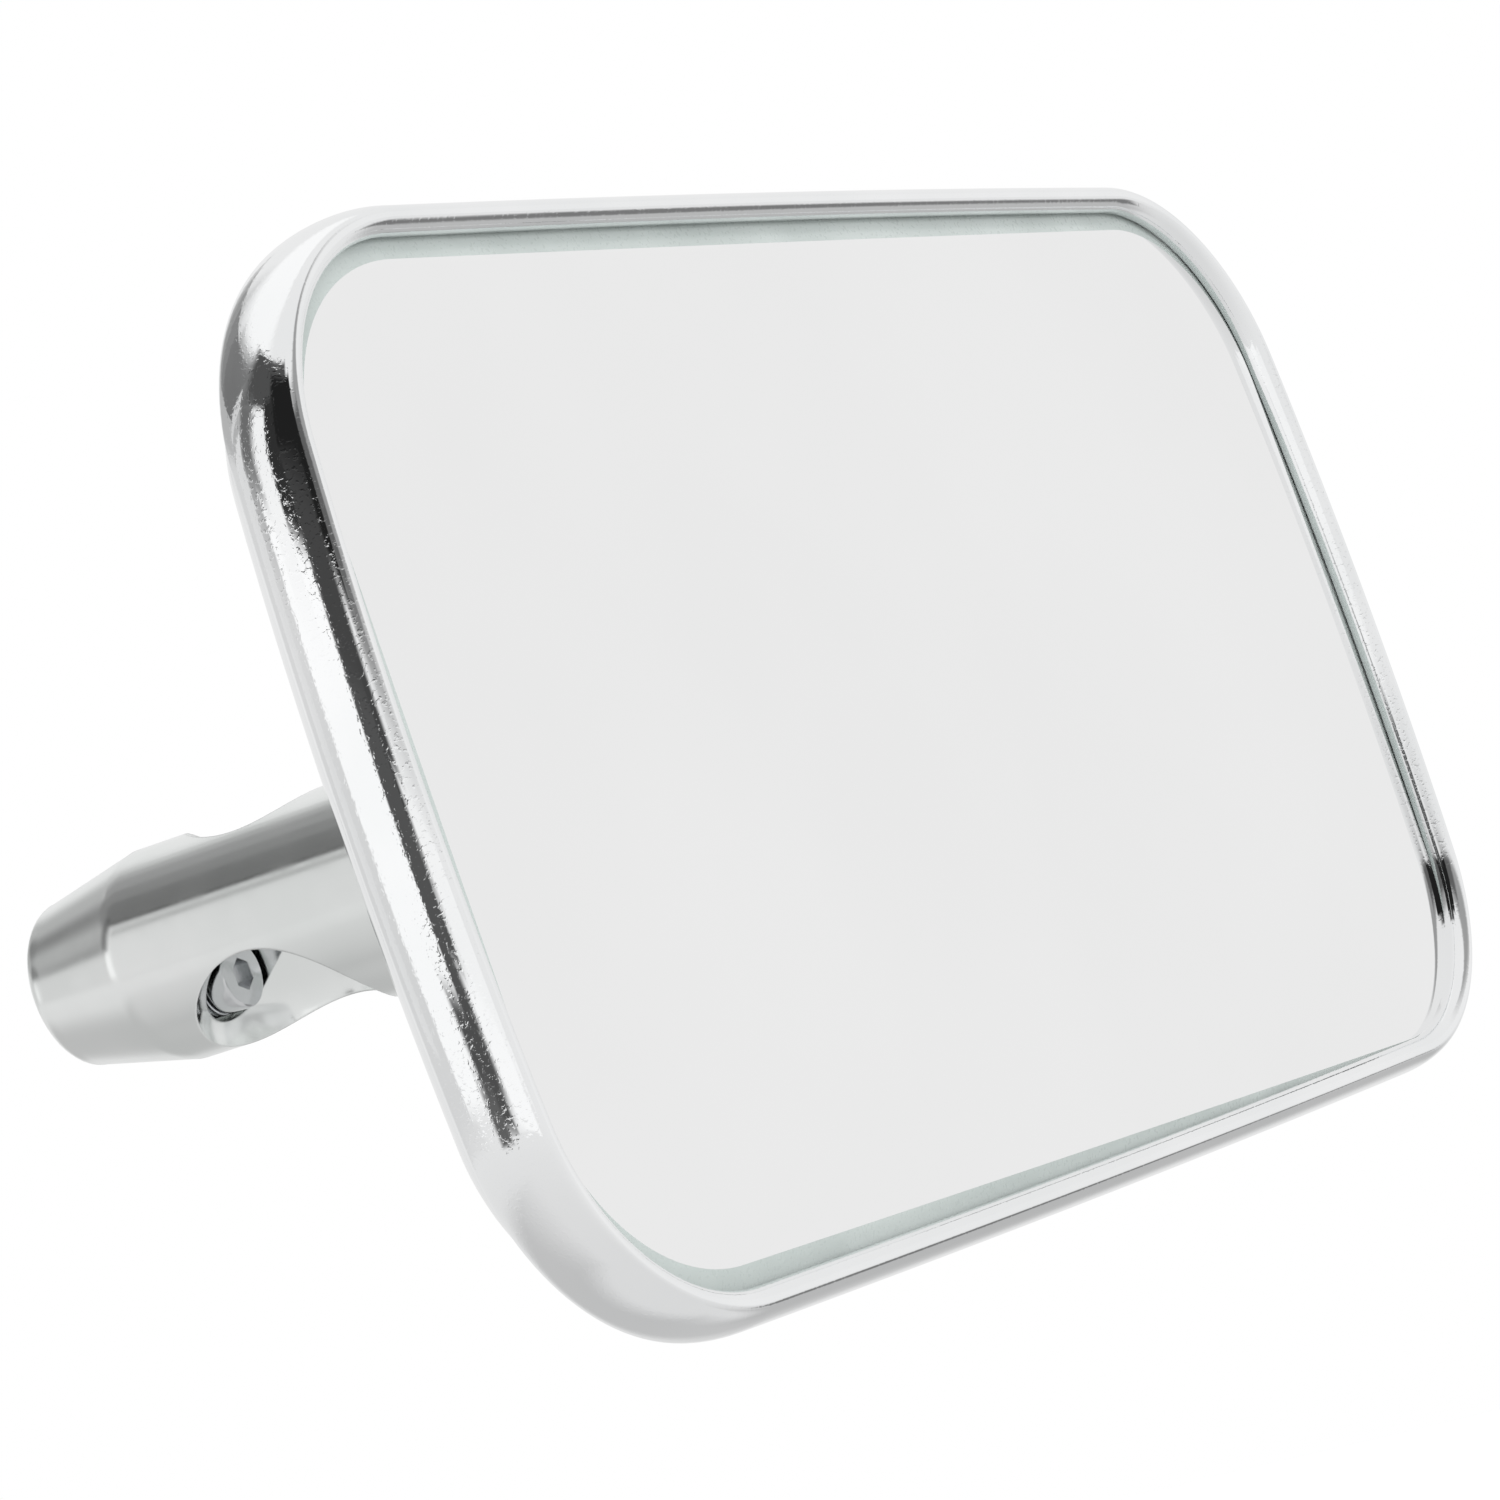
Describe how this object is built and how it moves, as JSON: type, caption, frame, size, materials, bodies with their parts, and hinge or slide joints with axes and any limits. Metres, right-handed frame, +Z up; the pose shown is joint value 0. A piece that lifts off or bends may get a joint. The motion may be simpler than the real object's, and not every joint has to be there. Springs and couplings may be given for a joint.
{
  "type": "exterior mirror",
  "caption": "Rounded rectangular exterior mirror head in a bright rolled bezel, on a short round arm with a ball joint and recessed driver pockets.",
  "frame": {"origin": "centre of the flat end face of the arm, where it bolts to the vehicle", "axes": "+Y out of that end face along the arm, +Z up, the glass looks roughly towards -Y; at rest the head is panned 8 degrees and tilted up 3.5 degrees from square on the arm"},
  "size_m": [0.1643, 0.1209, 0.0982],
  "materials": {
    "chrome_bright": "bright chrome plate on pressed steel",
    "chrome_satin": "chrome plate on a die casting, slightly softer reflections",
    "steel_zinc": "zinc-plated steel",
    "steel_black": "dark phosphate finish",
    "glass_clear": "clear float glass, pale green at the ground edge",
    "mirror_silver": "silvered reflecting layer",
    "foam_grey": "closed-cell foam sheet",
    "rubber_black": "matt black rubber",
    "nylon_white": "natural nylon"
  },
  "bodies": {
    "arm": {"arm_casting": "chrome_satin", "ball_stud": "steel_zinc", "stud_lock_pin": "steel_zinc", "mounting_screw_lower": "steel_zinc", "mounting_screw_upper": "steel_zinc", "screw_washer_lower": "steel_zinc", "screw_washer_upper": "steel_zinc"},
    "liner": {"ball_liner": "nylon_white"},
    "ring": {"pressure_ring": "steel_zinc"},
    "head": {"bezel_ring": "chrome_bright", "back_shell": "chrome_bright", "collar_ring": "chrome_bright", "mirror_glass": "glass_clear", "silver_backing": "mirror_silver", "glass_cushion": "foam_grey", "edge_gasket": "rubber_black", "backing_plate": "steel_black", "socket_housing": "steel_zinc", "disc_spring": "steel_black", "clamp_plate": "steel_zinc", "clamp_screw_1": "steel_zinc", "clamp_screw_2": "steel_zinc", "clamp_screw_3": "steel_zinc"}
  },
  "joints": [
    {"name": "head_pan", "type": "hinge", "parent": "arm", "child": "liner", "pos_m": [0, -0.0905, 0], "axis": [0, 0, 1], "range_deg": [-17, 33]},
    {"name": "head_tilt", "type": "hinge", "parent": "liner", "child": "ring", "pos_m": [0, -0.0905, 0], "axis": [0.9903, -0.1392, 0], "range_deg": [-16.5, 23.5]},
    {"name": "head_spin", "type": "hinge", "parent": "ring", "child": "head", "pos_m": [0, -0.0905, 0], "axis": [-0.1389, -0.9884, 0.061], "continuous": true}
  ]
}
